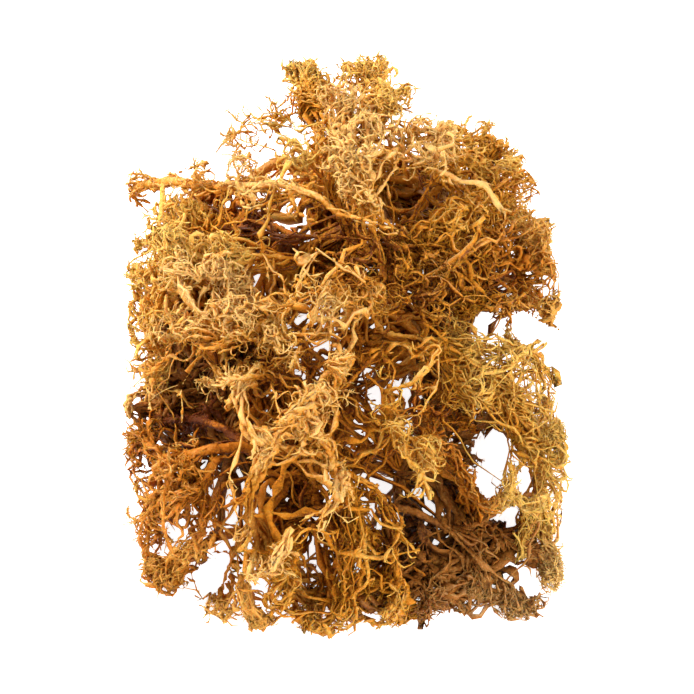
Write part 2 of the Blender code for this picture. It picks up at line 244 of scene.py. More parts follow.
# Where bridges end, and how many of them fill the low part of the clump.
END_PLACES = 1500  # places for the ends of bridges to other fronds
END_CHOICE = 6  # how loosely an end is chosen
COMBING_COST = 60  # how much more than the right span it counts that a bridge runs along its limb
FILLING_CROWD = 4
FILLING_ELSEWHERE = 0.3  # share of the filling bridges that stay where no hollow is above them
FILLING_THICKNESS = 1.8

# Openings that run down through the clump and lean back as they rise: where each one's middle meets
# the floor, and its radius.
OPENING_LEAN = math.radians(30)
OPENINGS = (
    ((44, 20), 4.0),
    ((55, 19), 6.0),
    ((67, 13), 8.0),
    ((19.5, 16), 2.2),
    ((26.5, -8), 1.8),
    ((46, -24), 5.5),
    ((41, -34), 3.5),
    ((53, -34), 4.0),
    ((48, -46), 4.0),
    ((-38, -66), 6.0),
    ((-36, -58), 3.5),
    ((18, -89), 7.0),
    ((27, -88), 6.0),
    ((74, 47), 10.0),
    ((74, 66), 12.0),
    ((74, 84), 12.0),
    ((79, 30), 8.0),
    ((18, 130), 10.0),
    ((28, 117), 8.0),
    ((-37, 108), 8.0),
)

# Hollows lean like the openings and end above the floor: the middle on the floor, the radius, and
# the height where each ends.
HOLLOWS = (
    ((-50, 5), 7, 36),
    ((-50, -8), 10, 30),
    ((-37, -10), 7, 34),
    ((-33, -20), 8, 28),
    ((7, 1), 6, 34),
    ((17, 15), 8, 32),
    ((-5, 47), 6, 42),
    ((-13, -40), 7, 22),
    ((-25, -46), 7, 22),
    ((17, 65), 7, 48),
    ((25, -41), 8, 20),
    ((29, -61), 9, 14),
)

# Loose stretches without a hollow whose floor is closed too: the middle on the floor, and the radius.
CLOSED = (
    ((-32, -43), 10),
    ((-23, -40), 8),
    ((-42, -53), 12),
    ((-28, -58), 9),
    ((7, -43), 9),
    ((-12, 3), 8),
    ((11, -9), 8),
    ((57, -70), 12),
)

# Tufts that reach past the limbs: the place that strands are drawn to, and from how far away.
LURES = (
    ((-17, 87, 50), 16),
    ((-3, 86, 54), 14),
    ((-65, 33, 32), 12),
    ((-62, -47, 22), 10),
    ((-60, -66, 7), 14),
    ((-50, -72, 5), 12),
    ((-26, -86, 9), 12),
    ((-17, -87, 8), 14),
    ((-8, -86, 7), 14),
    ((37, -74, 8), 14),
    ((48, -80, 4), 14),
    ((64, -55, 6), 12),
    ((63, -80, 4), 18),
    ((63, -66, 4), 12),
    ((63, -19, 22), 12),
    ((63, -35, 30), 12),
    ((52, -3, 38), 10),
    ((38, 0, 44), 12),
    ((31, -8, 46), 14),
    ((46, 75, 36), 12),
    ((-30, 40, 60), 12),
)

# The studio: each light's place, its size, and its power beside the key's.
LIGHTS = {
    "key": ((-0.62, 0.42, 0.52), 0.45, 1.0),
    "fill": ((0.62, -0.45, 0.6), 0.8, 0.75),
}
SKY_STRENGTH = 0.62
FLOOR_SIZE = 6.0
CAMERA_TARGET = Vector((0.001, -0.007, 0.032))
SENSOR_WIDTH = 36


class SeaMossShape(bpy.types.PropertyGroup):
    """Sizes of the strands."""

    strand_length: FloatProperty(
        name="Strand length", description="Usual length of a main strand",
        default=14 * MM, min=5 * MM, max=60 * MM, subtype="DISTANCE", unit="LENGTH",
    )
    strand_radius: FloatProperty(
        name="Strand radius", description="Radius of a main strand where it leaves its limb",
        default=0.7 * MM, min=0.2 * MM, max=2 * MM, subtype="DISTANCE", unit="LENGTH",
    )
    twig_length: FloatProperty(
        name="Twig length", description="Usual length of a twig on a strand",
        default=7.5 * MM, min=2 * MM, max=30 * MM, subtype="DISTANCE", unit="LENGTH",
    )
    spur_length: FloatProperty(
        name="Spur length", description="Usual length of a spur on a twig or a strand",
        default=2.8 * MM, min=0.5 * MM, max=10 * MM, subtype="DISTANCE", unit="LENGTH",
    )
    spike_length: FloatProperty(
        name="Spike length", description="Usual length of the fine points on every strand",
        default=1.6 * MM, min=0.2 * MM, max=5 * MM, subtype="DISTANCE", unit="LENGTH",
    )
    curl: FloatProperty(
        name="Curl", description="How far a strand turns in each millimetre, in radians",
        default=0.165, min=0.0, max=1.0,
    )
    crowd: FloatProperty(
        name="Crowd", description="Share of the usual number of strands",
        default=1.0, min=0.05, max=1.5,
    )
    seed: IntProperty(name="Seed", description="Start of all the random draws", default=7, min=0)


class SeaMossStage(bpy.types.PropertyGroup):
    """The floor, the lights and the camera."""

    floor_colour: FloatVectorProperty(
        name="Floor colour", description="Colour of the floor",
        default=(0.93, 0.93, 0.93), size=3, min=0.0, max=1.0, subtype="COLOR",
    )
    floor_glow: FloatProperty(
        name="Floor glow", description="How far the floor is lit from below", default=0.85, min=0.0,
    )
    key_power: FloatProperty(
        name="Key power", description="Power of the large light on the upper left, in watts",
        default=13.0, min=0.0, subtype="POWER", unit="POWER",
    )
    camera_distance: FloatProperty(
        name="Camera distance", description="From the camera to the middle of the clump",
        default=0.492, min=0.1, subtype="DISTANCE", unit="LENGTH",
    )
    camera_height_angle: FloatProperty(
        name="Camera elevation", description="How far the camera looks down on the clump",
        default=math.radians(60), subtype="ANGLE", unit="ROTATION",
    )
    camera_lens: FloatProperty(
        name="Lens", description="Focal length of the camera, in millimetres", default=85.0, min=10,
    )


# ---------------------------------------------------------------------------------------------
# Vectors and fields


def unit(vectors):
    """The vectors at length one."""
    lengths = np.linalg.norm(vectors, axis=-1, keepdims=True)
    return vectors / np.maximum(lengths, 1e-9)


def turned(vectors, axes, angles):
    """The vectors turned about the axes by the angles."""
    cosine = np.cos(angles)[:, None]
    sine = np.sin(angles)[:, None]
    along = np.sum(axes * vectors, axis=1, keepdims=True)
    return vectors * cosine + np.cross(axes, vectors) * sine + axes * along * (1 - cosine)


def square_to(vectors, axes):
    """The part of the vectors that is square to the axes, at length one."""
    return unit(vectors - np.sum(vectors * axes, axis=-1, keepdims=True) * axes)


def generator(*words):
    """A random generator that depends only on the words."""
    return np.random.default_rng(zlib.crc32("/".join(map(str, words)).encode()))


class Waves:
    """A smooth random field in space: a few sine waves added up."""

    def __init__(self, name, longest, shortest, outputs, waves=14):
        rng = generator("waves", name)
        length = np.geomspace(longest, shortest, waves)
        self.waves = unit(rng.normal(size=(waves, 3))) * (2 * np.pi / length)[:, None]
        self.phases = rng.uniform(0, 2 * np.pi, (outputs, waves))
        self.heights = rng.normal(size=(outputs, waves)) / math.sqrt(waves) * 1.4

    def at(self, points):
        angles = points @ self.waves.T
        values = [np.sin(angles + phase) @ height for phase, height in zip(self.phases, self.heights)]
        return np.stack(values, axis=-1)


class Crowding:
    """How thickly the limbs fill the space: it tells which way is out and how far light gets in."""

    CELL = 4.0
    REACH = 11
    SHADE = 0.42
    SAMPLES_PER_MM2 = 1.5

    def __init__(self, limbs):
        rng = generator("crowding")
        points = [limb.samples(rng, int(limb.areas.sum() * self.SAMPLES_PER_MM2))[0] for limb in limbs]
        points = np.concatenate(points)
        self.points = points
        self.low = points.min(axis=0) - 3 * self.CELL
        cells = np.ceil((points.max(axis=0) + 3 * self.CELL - self.low) / self.CELL).astype(int)
        self.fill = np.zeros(cells)
        places = ((points - self.low) / self.CELL).astype(int)
        np.add.at(self.fill, tuple(places.T), 1.0)
        self.fill = blurred(self.fill)
        self.fill *= self.SHADE / np.percentile(self.fill[self.fill > 0.5], 60)
        self.light, self.out = self.seen_from_cells()

    def seen_from_cells(self):
        """For each cell, the share of the light that gets there, and the open direction."""
        index = np.stack(np.meshgrid(*map(np.arange, self.fill.shape), indexing="ij"), axis=-1)
        total = np.zeros(self.fill.shape)
        light = np.zeros(self.fill.shape)
        out = np.zeros(self.fill.shape + (3,))
        for direction in ball_directions(48):
            blocked = np.zeros(self.fill.shape)
            for step in range(1, self.REACH):
                place = np.rint(index + direction * step).astype(int)
                inside = np.all((place >= 0) & (place < self.fill.shape), axis=-1)
                place = np.clip(place, 0, np.array(self.fill.shape) - 1)
                blocked += np.where(inside, self.fill[tuple(np.moveaxis(place, -1, 0))], 0)
            seen = np.exp(-blocked)
            weight = max(0.15, 0.55 + direction[2])
            total += weight
            light += weight * seen
            out += seen[..., None] * direction
        return light / total, out

    def at(self, points, values):
        """The values of the eight cells round each point, blended."""
        place = (points - self.low) / self.CELL - 0.5
        place = np.clip(place, 0, np.array(self.fill.shape) - 1.001)
        base = place.astype(int)
        rest = place - base
        result = 0
        for corner in np.ndindex(2, 2, 2):
            share = np.prod(np.where(corner, rest, 1 - rest), axis=-1)
            value = values[tuple((base + corner).T)]
            result = result + (share[:, None] * value if value.ndim > 1 else share * value)
        return result

    def light_at(self, points):
        return self.at(points, self.light)

    def way_out(self, points):
        return unit(self.at(points, self.out))


def blurred(grid):
    """The grid with each cell shared out to its neighbours."""
    for axis in range(3):
        grid = 0.5 * grid + 0.25 * (np.roll(grid, 1, axis) + np.roll(grid, -1, axis))
    return grid


def ball_directions(count):
    """Directions spread evenly over a ball, by the golden angle."""
    steps = np.arange(count) + 0.5
    height = 1 - 2 * steps / count
    around = steps * math.pi * (3 - math.sqrt(5))
    width = np.sqrt(1 - height**2)
    return np.stack((width * np.cos(around), width * np.sin(around), height), axis=1)


# ---------------------------------------------------------------------------------------------
# The solids' surfaces


class Limb:
    """A node's surface as the strands see it: where it is and which way its limb runs."""

    def __init__(self, node):
        mesh = frame["nodes"][node].data
        mesh.calc_loop_triangles()
        corners = np.empty(len(mesh.loop_triangles) * 3, dtype=np.int32)
        mesh.loop_triangles.foreach_get("vertices", corners)
        points, merged = np.unique(points_of(mesh).round(3), axis=0, return_inverse=True)
        corners = merged.reshape(-1)[corners].reshape(-1, 3)
        self.node = node
        self.triangles = points[corners]
        edges = self.triangles[:, 1:] - self.triangles[:, :1]
        normals = np.cross(edges[:, 0], edges[:, 1])
        self.normals = unit(normals)
        self.areas = np.linalg.norm(normals, axis=1) / 2
        rise = way_along(points, corners)[corners]
        rise = rise[:, 1:] - rise[:, :1]
        slope = rise[:, :1] * np.cross(edges[:, 1], normals) + rise[:, 1:] * np.cross(normals, edges[:, 0])
        self.along = unit(slope)
        rng = generator("guides", node)
        self.guides, _, self.guide_ways = self.samples(rng, max(40, int(self.areas.sum() / 3)))

    @property
    def square_centimetres(self):
        return self.areas.sum() / 100

    def samples(self, rng, count):
        """Points spread over the surface, with the normal and the way of the limb at each."""
        chosen = rng.choice(len(self.triangles), count, p=self.areas / self.areas.sum())
        shares = np.sort(rng.uniform(size=(count, 2)), axis=1)
        shares = np.diff(shares, axis=1, prepend=0, append=1)
        points = np.einsum("nc,ncd->nd", shares, self.triangles[chosen])
        return points, self.normals[chosen], self.along[chosen]

    def guide(self, places):
        """At each place, the way the limb runs near it, and the nearest way back to the limb."""
        gaps = self.guides[None] - places[:, None]
        distances = np.linalg.norm(gaps, axis=2)
        near = np.exp(-((distances - distances.min(axis=1, keepdims=True)) / 1.5))
        near /= near.sum(axis=1, keepdims=True)
        return unit(near @ self.guide_ways), np.einsum("nm,nmd->nd", near, gaps)


def way_along(points, corners):
    """How far each point is along its limb, walked on the surface from the limb's inner end."""
    pairs = np.concatenate((corners[:, :2], corners[:, 1:], corners[:, ::2]))
    pairs = np.concatenate((pairs, pairs[:, ::-1]))
    lengths = np.linalg.norm(points[pairs[:, 0]] - points[pairs[:, 1]], axis=1)

    def walked_from(start):
        walked = np.full(len(points), 1e6)
        walked[start] = 0
        for _ in range(len(points)):
            before = walked.copy()
            np.minimum.at(walked, pairs[:, 1], before[pairs[:, 0]] + lengths)
            if np.array_equal(before, walked):
                break
        return walked

    first = int(np.argmax(walked_from(0)))
    second = int(np.argmax(walked_from(first)))
    inner = min(first, second, key=lambda end: np.linalg.norm(points[end] - BOX_MIDDLE))
    return walked_from(inner)


# ---------------------------------------------------------------------------------------------
# Strands


class Strands:
    """Many strands of one kind, as paths with a side direction and a radius at each step."""

    def __init__(self, path, heading, side, radius, point, chance, flat):
        self.path = path
        self.heading = heading
        self.side = side
        self.radius = radius
        self.point = point
        self.chance = chance
        self.flat = flat

    def __len__(self):
        return self.path.shape[0]

    def only(self, chosen):
        """The chosen strands."""
        parts = (self.path, self.heading, self.side, self.radius, self.point, self.chance)
        return Strands(*(part[chosen] for part in parts), self.flat)

    @property
    def steps(self):
        return self.path.shape[1] - 1

    def surface(self, rng):
        """Points, faces' corners, faces' sizes, and each point's way to the tip, chance and facing."""
        strands, rings = self.radius.shape
        flatness = rng.uniform(*self.flat, strands)
        corners = TUBE_CORNERS
        angles = np.arange(corners) * (2 * np.pi / corners)
        up = np.cross(self.heading, self.side)
        ring = (
            np.cos(angles)[:, None] * self.side[:, :, None, :]
            + np.sin(angles)[:, None] * (up * flatness[:, None, None])[:, :, None, :]
        )
        crumple = np.clip(rng.normal(1, CRUMPLE, ring.shape[:3]), *CRUMPLE_RANGE)
        points = self.path[:, :, None, :] + ring * (self.radius[:, :, None] * crumple)[..., None]
        tips = self.path[:, -1] + self.heading[:, -1] * self.point[:, None]
        points = np.concatenate((points.reshape(strands, -1, 3), tips[:, None]), axis=1)
        shares = np.repeat(np.linspace(0, 1, rings), corners) if rings > 1 else np.full(corners, 0.6)
        shares = np.broadcast_to(np.append(shares, 1.0), (strands, rings * corners + 1))
        chances = np.broadcast_to(self.chance[:, None], shares.shape)
        # Facing up is read by the colour as painted light: up-facing sides paler.
        facings = np.append(unit(ring)[..., 2].reshape(strands, -1), self.heading[:, -1:, 2], axis=1)
        paints = np.stack((shares, chances, facings), axis=-1)

        here = np.arange(rings - 1)[:, None] * corners + np.arange(corners)
        beside = np.arange(rings - 1)[:, None] * corners + (np.arange(corners) + 1) % corners
        walls = np.stack((here, beside, beside + corners, here + corners), axis=-1).reshape(-1)
        last = (rings - 1) * corners
        tip = np.stack((
            last + np.arange(corners),
            last + (np.arange(corners) + 1) % corners,
            np.full(corners, rings * corners),
        ), axis=-1).reshape(-1)
        root = np.arange(corners)[::-1]
        one = np.concatenate((walls, tip, root))
        sizes = np.concatenate((np.full((rings - 1) * corners, 4), np.full(corners, 3), [corners]))
        starts = np.arange(strands)[:, None] * (rings * corners + 1)
        return (
            points.reshape(-1, 3),
            (starts + one).reshape(-1),
            np.tile(sizes, strands),
            paints.reshape(-1, 3),
        )


def grown(rng, limb, kind, roots, headings, lengths, radii, curl, combing, chance):
    """Strands of one kind that grow from their roots on a limb step by step."""
    count = len(roots)
    steps = kind.steps
    daring = kind.daring + rng.normal(0, 0.05, count) + WISP_DARING * (rng.uniform(size=count) < WISPS)
    heading = unit(headings)
    side = square_to(CURLS.at(roots) + 0.25 * rng.normal(size=(count, 3)), heading)
    rate = curl * kind.curl * rng.lognormal(0, 0.4, count)
    roll = rng.normal(0, kind.twist, count)
    stride = lengths / steps
    kink = kind.kink * stride
    place = roots.copy()
    path, ways, flanks = [place], [heading], [side]
    for step in range(steps):
        share = (step + 0.5) / steps
        bend = rate * stride * (1 - kind.hook + 3 * kind.hook * share**2)
        bend = np.minimum(bend, SHARPEST_BEND)
        up = np.cross(heading, side)
        heading = turned(heading, up, bend + kink * rng.normal(size=count))
        heading = turned(heading, side, kink * rng.normal(size=count))
        push = steering(place, daring)
        if kind.follow:
            way, back = limb.guide(place)
            pull = np.clip(np.linalg.norm(back, axis=1) / kind.reach, 0, 1.5) ** 3
            push += 0.5 * unit(back) * pull[:, None]
            push += kind.follow * combing * way * (1 - share)
        heading = unit(heading + (push + DRIFT * FLOW.at(place)) * stride[:, None])
        side = square_to(turned(side, heading, roll * stride), heading)
        place = place + heading * stride[:, None]
        path.append(place + WOBBLE * rng.normal(size=place.shape))
        ways.append(heading)
        flanks.append(side)
    share = np.linspace(0, 1, steps + 1)
    shape = (1 - share**1.6) * (1 - kind.tip) + kind.tip
    lumps = rng.lognormal(0, LUMPINESS, (count, steps + 1))
    radius = radii[:, None] * shape * lumps
    stack = [np.stack(values, axis=1) for values in (path, ways, flanks)]
    point = radius[:, -1] * 1.5
    strands = Strands(*stack, radius, point, chance, kind.flat)
    return strands.only(clear_of_openings(strands))


def steering(place, daring):
    """A push, for each millimetre, that keeps strands near the limbs and out of the openings."""
    light = CROWDING.light_at(place)
    way, nearness = lured(place)
    over = np.clip((light - daring - nearness) * 5, 0, 1.5)[:, None]
    push = way - over * CROWDING.way_out(place)
    push[:, 2] += np.clip((FLOOR_REACH - place[:, 2]) / FLOOR_REACH, 0, 1.5)
    outside = np.clip(np.abs(place - BOX_MIDDLE) - BOX_HALF - EDGE_ROOM + EDGE_REACH, 0, EDGE_REACH)
    push -= np.sign(place - BOX_MIDDLE) * outside * 0.6
    for middle, radius in OPENINGS:
        away = from_opening(place, middle)
        distance = np.linalg.norm(away, axis=1)
        near = np.clip((radius + OPENING_MARGIN - distance) / OPENING_MARGIN, 0, 1.2)
        push += unit(away) * near[:, None]
    return STEERING * push


def lured(place):
    """At each place, the pull of the tufts that reach past the limbs, and how near they are."""
    pull = np.zeros_like(place)
    nearness = np.zeros(len(place))
    for middle, radius in LURES:
        way = np.array(middle) - place
        distance = np.linalg.norm(way, axis=1)
        near = np.clip(1.3 - distance / radius, 0, 1)
        pull += unit(way) * (near * np.clip(distance / 4, 0, 1))[:, None]
        nearness = np.maximum(nearness, near)
    return pull, nearness


def from_opening(place, middle):
    """The shortest way from an opening's line to each place."""
    line = np.array((0.0, -math.sin(OPENING_LEAN), math.cos(OPENING_LEAN)))
    away = place - np.array((*middle, 0.0))
    return away - (away @ line)[:, None] * line


def clear_of_openings(strands):
    """Which strands stay out of the middle of every opening, and mostly out of the hollows."""
    clear = np.ones(len(strands), dtype=bool)
    points = strands.path[:, 1:].reshape(-1, 3)
    for middle, radius in OPENINGS:
        distance = np.linalg.norm(from_opening(points, middle), axis=1)
        clear &= distance.reshape(len(strands), strands.steps).min(axis=1) > radius * OPENING_CORE
    for middle, radius, bottom in HOLLOWS:
        distance = np.linalg.norm(from_opening(points, middle), axis=1)
        inside = (distance < radius) & (points[:, 2] > bottom)
        clear &= ~inside.reshape(len(strands), strands.steps).any(axis=1) | (strands.chance > HOLLOW_STRAYS)
    return clear


def branched(rng, limb, parents, branching, each, length, curl, combing=0):
    """Strands that leave each of their parents at a few of its steps."""
    count = len(parents) * each
    owner = np.repeat(np.arange(len(parents)), each)
    lowest = max(1, int(branching.first * parents.steps))
    highest = max(lowest + 1, int(branching.last * parents.steps) + 1)
    ring = rng.integers(lowest, highest, count)
    roots = parents.path[owner, ring]
    along = parents.heading[owner, ring]
    side = square_to(CURLS.at(roots * 1.7) + 0.6 * rng.normal(size=(count, 3)), along)
    headings = turned(along, side, rng.normal(branching.lean, 0.25, count))
    headings = headings + 0.3 * CROWDING.way_out(roots)
    radii = parents.radius[owner, ring] * branching.thickness
    lengths = length * branching.length * rng.lognormal(0, 0.3, count) * (1.15 - 0.4 * ring / parents.steps)
    chance = np.clip(parents.chance[owner] + rng.normal(0, 0.1, count), 0, 1)
    return grown(rng, limb, branching.kind, roots, headings, lengths, radii, curl, combing, chance)


def spikes(rng, parents, each, length):
    """Short straight points that stand out from their parents on all sides."""
    count = len(parents) * each
    owner = np.repeat(np.arange(len(parents)), each)
    ring = rng.integers(1, parents.steps + 1, count)
    between = rng.uniform(0, 1, (count, 1))
    roots = parents.path[owner, ring] * between + parents.path[owner, ring - 1] * (1 - between)
    along = parents.heading[owner, ring]
    side = square_to(rng.normal(size=(count, 3)), along)
    heading = turned(along, side, rng.normal(1.0, 0.3, count))
    radius = np.minimum(parents.radius[owner, ring] * 0.7, THICKEST_SPIKE)
    lengths = parents.radius[owner, ring] * 0.6 + length * rng.lognormal(0, 0.35, count)
    chance = np.clip(parents.chance[owner] + 0.12, 0, 1)
    shape = (roots[:, None], heading[:, None], square_to(side, heading)[:, None], radius[:, None])
    return Strands(*shape, lengths, chance, (0.6, 1.0))


FLOW = Waves("flow", 60, 14, 3)
CURLS = Waves("curls", 24, 8, 3)
TUFTS = Waves("tufts", 26, 8, 1)
ZONES = Waves("zones", 60, 12, 2)


def strands_of(limb, habit, shape):
    """All the strands of a node: main strands, cords and bridges, and what branches from them."""
    rng = generator("strands", limb.node, shape.seed)
    curl = shape.curl * habit.curl
    twig_length = shape.twig_length / MM * habit.length**0.5
    spur_length = shape.spur_length / MM
    spike_length = shape.spike_length / MM
    main = main_strands(rng, limb, habit, shape)
    twigs = branched(
        rng, limb, seen(main, SEEN_STRAND), TWIGS, habit.twigs, twig_length, curl, habit.combing,
    )
    spurs = branched(rng, limb, main, SPURS, 1, spur_length, curl)
    tips = branched(rng, limb, seen(twigs, SEEN_TWIG), TIPS, 1, spur_length, curl)
    body = cords(rng, limb, habit, shape)
    ties = bridges(rng, limb, habit, shape)
    lit = seen(ties, SEEN_BRIDGE)
    hooks = branched(rng, limb, lit, HOOKS, HOOKS_EACH, twig_length, curl)
    barbs = branched(rng, limb, lit, BARBS, BARBS_EACH, spur_length, curl)
    fuzz = [
        spikes(rng, strands, each, spike_length)
        for strands, each in (
            (main, STRAND_SPIKES), (twigs, TWIG_SPIKES), (body, CORD_SPIKES), (lit, BRIDGE_SPIKES),
        )
    ]
    return main, twigs, spurs, tips, body, ties, hooks, barbs, *fuzz


def main_strands(rng, limb, habit, shape):
    """Strands that grow from a node, most of them where it is light."""
    wanted = int(limb.square_centimetres * habit.crowd * shape.crowd)
    points, normals, along = limb.samples(rng, wanted * 6)
    light = CROWDING.light_at(points)
    liking = np.clip(light, 0.02, 1) ** 1.3 * np.clip(0.75 + 0.7 * TUFTS.at(points)[:, 0], 0.08, 2)
    liking *= 1 + 3 * lured(points)[1]
    order = np.argsort(-liking * rng.uniform(0, 1, len(points)))[:wanted]
    points, normals, along, light = points[order], normals[order], along[order], light[order]
    out = CROWDING.way_out(points)
    combing = habit.combing
    headings = combing * along + (1 - combing) * (0.5 * normals + 0.8 * out)
    headings += 0.5 * FLOW.at(points) * (1 - combing) + 0.15 * rng.normal(size=points.shape)
    length = shape.strand_length / MM * habit.length
    radius = shape.strand_radius / MM * habit.thickness
    lengths = length * rng.lognormal(0, 0.25, wanted) * (0.65 + 0.5 * np.clip(light * 1.6, 0, 1))
    radii = radius * rng.lognormal(0, 0.2, wanted)
    chance = rng.beta(2.2, 2.2, wanted)
    roots = points - normals * 0.3
    curl = shape.curl * habit.curl
    return grown(rng, limb, STRAND, roots, headings, lengths, radii, curl, combing, chance)


def seen(strands, light):
    """The strands whose middle gets more than this share of the light."""
    middles = strands.path[:, strands.steps // 2]
    return strands.only(CROWDING.light_at(middles) > light)


def cords(rng, limb, habit, shape):
    """Cords that lie along a node and give its frond its body."""
    wanted = int(limb.square_centimetres * habit.cords * shape.crowd)
    points, normals, along = limb.samples(rng, wanted)
    out = CROWDING.way_out(points)
    headings = 0.8 * along + 0.4 * normals + 0.3 * out + 0.25 * rng.normal(size=points.shape)
    lengths = 1.1 * shape.strand_length / MM * habit.length * rng.lognormal(0, 0.25, wanted)
    radii = shape.strand_radius / MM * habit.thickness * rng.lognormal(0.1, 0.2, wanted)
    chance = rng.beta(2, 2.5, wanted)
    roots = points + normals * 0.2
    return grown(rng, limb, CORD, roots, headings, lengths, radii, shape.curl, 1.0, chance)


def bridges(rng, limb, habit, shape):
    """Long wavy strands that cross from a node to other limbs and tangle the fronds together."""
    wanted = int(limb.square_centimetres * habit.bridges * shape.crowd)
    filling = habit.ceiling < math.inf
    if filling:
        wanted *= FILLING_CROWD
    roots, _, along = limb.samples(rng, wanted)
    ends = bridge_ends(rng, limb, habit, shape, roots, along)
    path, side = wavy_paths(rng, habit, roots, ends)
    past = np.abs(path - BOX_MIDDLE) - BOX_HALF - EDGE_ROOM
    kept = past.max(axis=(1, 2)) < 0
    heading = unit(np.gradient(path, axis=1))
    flank = square_to(np.broadcast_to(side[:, None], path.shape), heading)
    thick = shape.strand_radius / MM * habit.thickness * rng.lognormal(0, 0.2, wanted)
    if filling:
        kept &= under_hollows(path) | (rng.uniform(size=wanted) < FILLING_ELSEWHERE)
        thick *= FILLING_THICKNESS
    swell = 0.6 + 0.4 * np.sin(np.pi * np.linspace(0, 1, BRIDGE_STEPS + 1))
    radius = thick[:, None] * swell * rng.lognormal(0, LUMPINESS, path.shape[:2])
    chance = rng.beta(2, 2.5, wanted)
    strands = Strands(path, heading, flank, radius, radius[:, -1], chance, (0.5, 1.0))
    return strands.only(clear_of_openings(strands) & kept)


def bridge_ends(rng, limb, habit, shape, roots, along):
    """Where each bridge ends: on its own frond, or anywhere in the clump up to the ceiling."""
    wanted = len(roots)
    everywhere = CROWDING.points[CROWDING.points[:, 2] < habit.ceiling]
    everywhere = everywhere[rng.choice(len(everywhere), END_PLACES, replace=False)]
    frond = frond_of(limb.node)
    own = np.concatenate([other.guides for node, other in LIMBS.items() if frond_of(node) == frond])
    spans = BRIDGE_SPAN * shape.strand_length / MM * habit.length * rng.lognormal(0, 0.25, wanted)
    stays = rng.uniform(size=wanted) < habit.own
    return np.where(
        stays[:, None],
        ends_at(rng, roots, spans, along, habit.combing, own),
        ends_at(rng, roots, spans, along, 0, everywhere),
    )


def ends_at(rng, roots, spans, along, combing, places):
    """For each root, one of the places that is about its span away, and along its limb if combed."""
    ways = places[None] - roots[:, None]
    gaps = np.linalg.norm(ways, axis=2)
    cosines = np.abs(np.einsum("nmd,nd->nm", ways, along)) / np.maximum(gaps, 1e-6)
    cost = np.abs(gaps - spans[:, None]) + COMBING_COST * combing**2 * (1 - cosines)
    cost = cost + rng.uniform(0, END_CHOICE, gaps.shape)
    return places[np.argmin(cost, axis=1)]


def wavy_paths(rng, habit, roots, ends):
    """Paths that bow and wave from their roots to their ends, and a direction square to each."""
    wanted = len(roots)
    chord = unit(ends - roots)
    spans = np.linalg.norm(ends - roots, axis=1)
    share = np.linspace(0, 1, BRIDGE_STEPS + 1)
    side = square_to(rng.normal(size=roots.shape), chord)
    up = np.cross(chord, side)
    path = roots[:, None] + (ends - roots)[:, None] * share[:, None]
    bow = BRIDGE_BOW * CROWDING.way_out((roots + ends) / 2) + BRIDGE_BOW * FLOW.at(roots)
    path += (bow * spans[:, None])[:, None] * np.sin(np.pi * share)[:, None]
    waves = np.minimum(spans / BRIDGE_WAVE * rng.lognormal(0, 0.3, wanted), MOST_WAVES)
    wave = share * waves[:, None]
    height = WAVE_HEIGHT * habit.curl**0.5 * rng.lognormal(0, 0.4, (2, wanted, 1))
    height = height * np.sin(np.pi * share) ** 0.5
    phase = rng.uniform(0, 1, (2, wanted, 1))
    for way, swing, start in zip((side, up), height, phase):
        path += way[:, None] * (swing * np.sin(2 * np.pi * (wave + start)))[..., None]
    path += WOBBLE * 2 * rng.normal(size=path.shape)
    sharp = angular(path)
    path[sharp] = rounded(path[sharp])
    return path, side


def angular(paths):
    """Which paths turn a sharp corner between two long straight steps."""
    steps = np.diff(paths, axis=1)
    lengths = np.linalg.norm(steps, axis=2)
    shorter = np.minimum(lengths[:, 1:], lengths[:, :-1])
    cosines = np.einsum("nsd,nsd->ns", steps[:, 1:], steps[:, :-1])
    cosines = cosines / (lengths[:, 1:] * lengths[:, :-1])
    return ((cosines < SHARP_CORNER) & (shorter > LONG_STEP)).any(axis=1)


def rounded(paths):
    """Paths with their corners eased and their ends where they were."""
    paths = paths.copy()
    for _ in range(ROUNDINGS):
        paths[:, 1:-1] = 0.5 * paths[:, 1:-1] + 0.25 * (paths[:, :-2] + paths[:, 2:])
    return paths


def under_hollows(paths):
    """Which paths cross the line of a hollow or of a closed stretch."""
    under = np.zeros(len(paths), dtype=bool)
    for middle, radius, *_ in HOLLOWS + CLOSED:
        distance = np.linalg.norm(from_opening(paths.reshape(-1, 3), middle), axis=1)
        under |= (distance.reshape(paths.shape[:2]) < radius + 1).any(axis=1)
    return under


# ---------------------------------------------------------------------------------------------
# Pieces


def deselect_all():
    bpy.ops.object.select_all(action="DESELECT")


def make_active(piece):
    deselect_all()
    piece.select_set(True)
    bpy.context.view_layer.objects.active = piece


def apply_modifier(piece, kind, **values):
    """Adds a modifier to a piece with these values and applies it."""
    modifier = piece.modifiers.new(kind.lower(), kind)
    for name, value in values.items():
        setattr(modifier, name, value)
    make_active(piece)
    bpy.ops.object.modifier_apply(modifier=modifier.name)


def lumps_texture(name, size):
    """A cloudy texture that roughens the skins."""
    texture = bpy.data.textures.get(name) or bpy.data.textures.new(name, "CLOUDS")
    texture.noise_scale = size * MM
    texture.noise_depth = 2
    return texture


def skin_of(node, name, habit):
    """A rounded, wrinkled skin in the form of a node's solid."""
    mesh = frame["nodes"][node].data.copy()
    mesh.materials.clear()
    skin = bpy.data.objects.new(name, mesh)
    bpy.context.collection.objects.link(skin)
    apply_modifier(skin, "WELD", merge_threshold=0.01 * MM)
    apply_modifier(skin, "REMESH", mode="VOXEL", voxel_size=SKIN_VOXEL * MM, use_smooth_shade=True)
    apply_modifier(skin, "SMOOTH", factor=0.5, iterations=4)
    apply_modifier(skin, "DISPLACE", strength=habit.stem * MM, mid_level=0)
    apply_modifier(
        skin, "DISPLACE", strength=2 * SKIN_BUMPS * MM, mid_level=0.5,
        texture=lumps_texture("wrinkles", WRINKLE_SIZE), texture_coords="LOCAL",
    )
    return skin


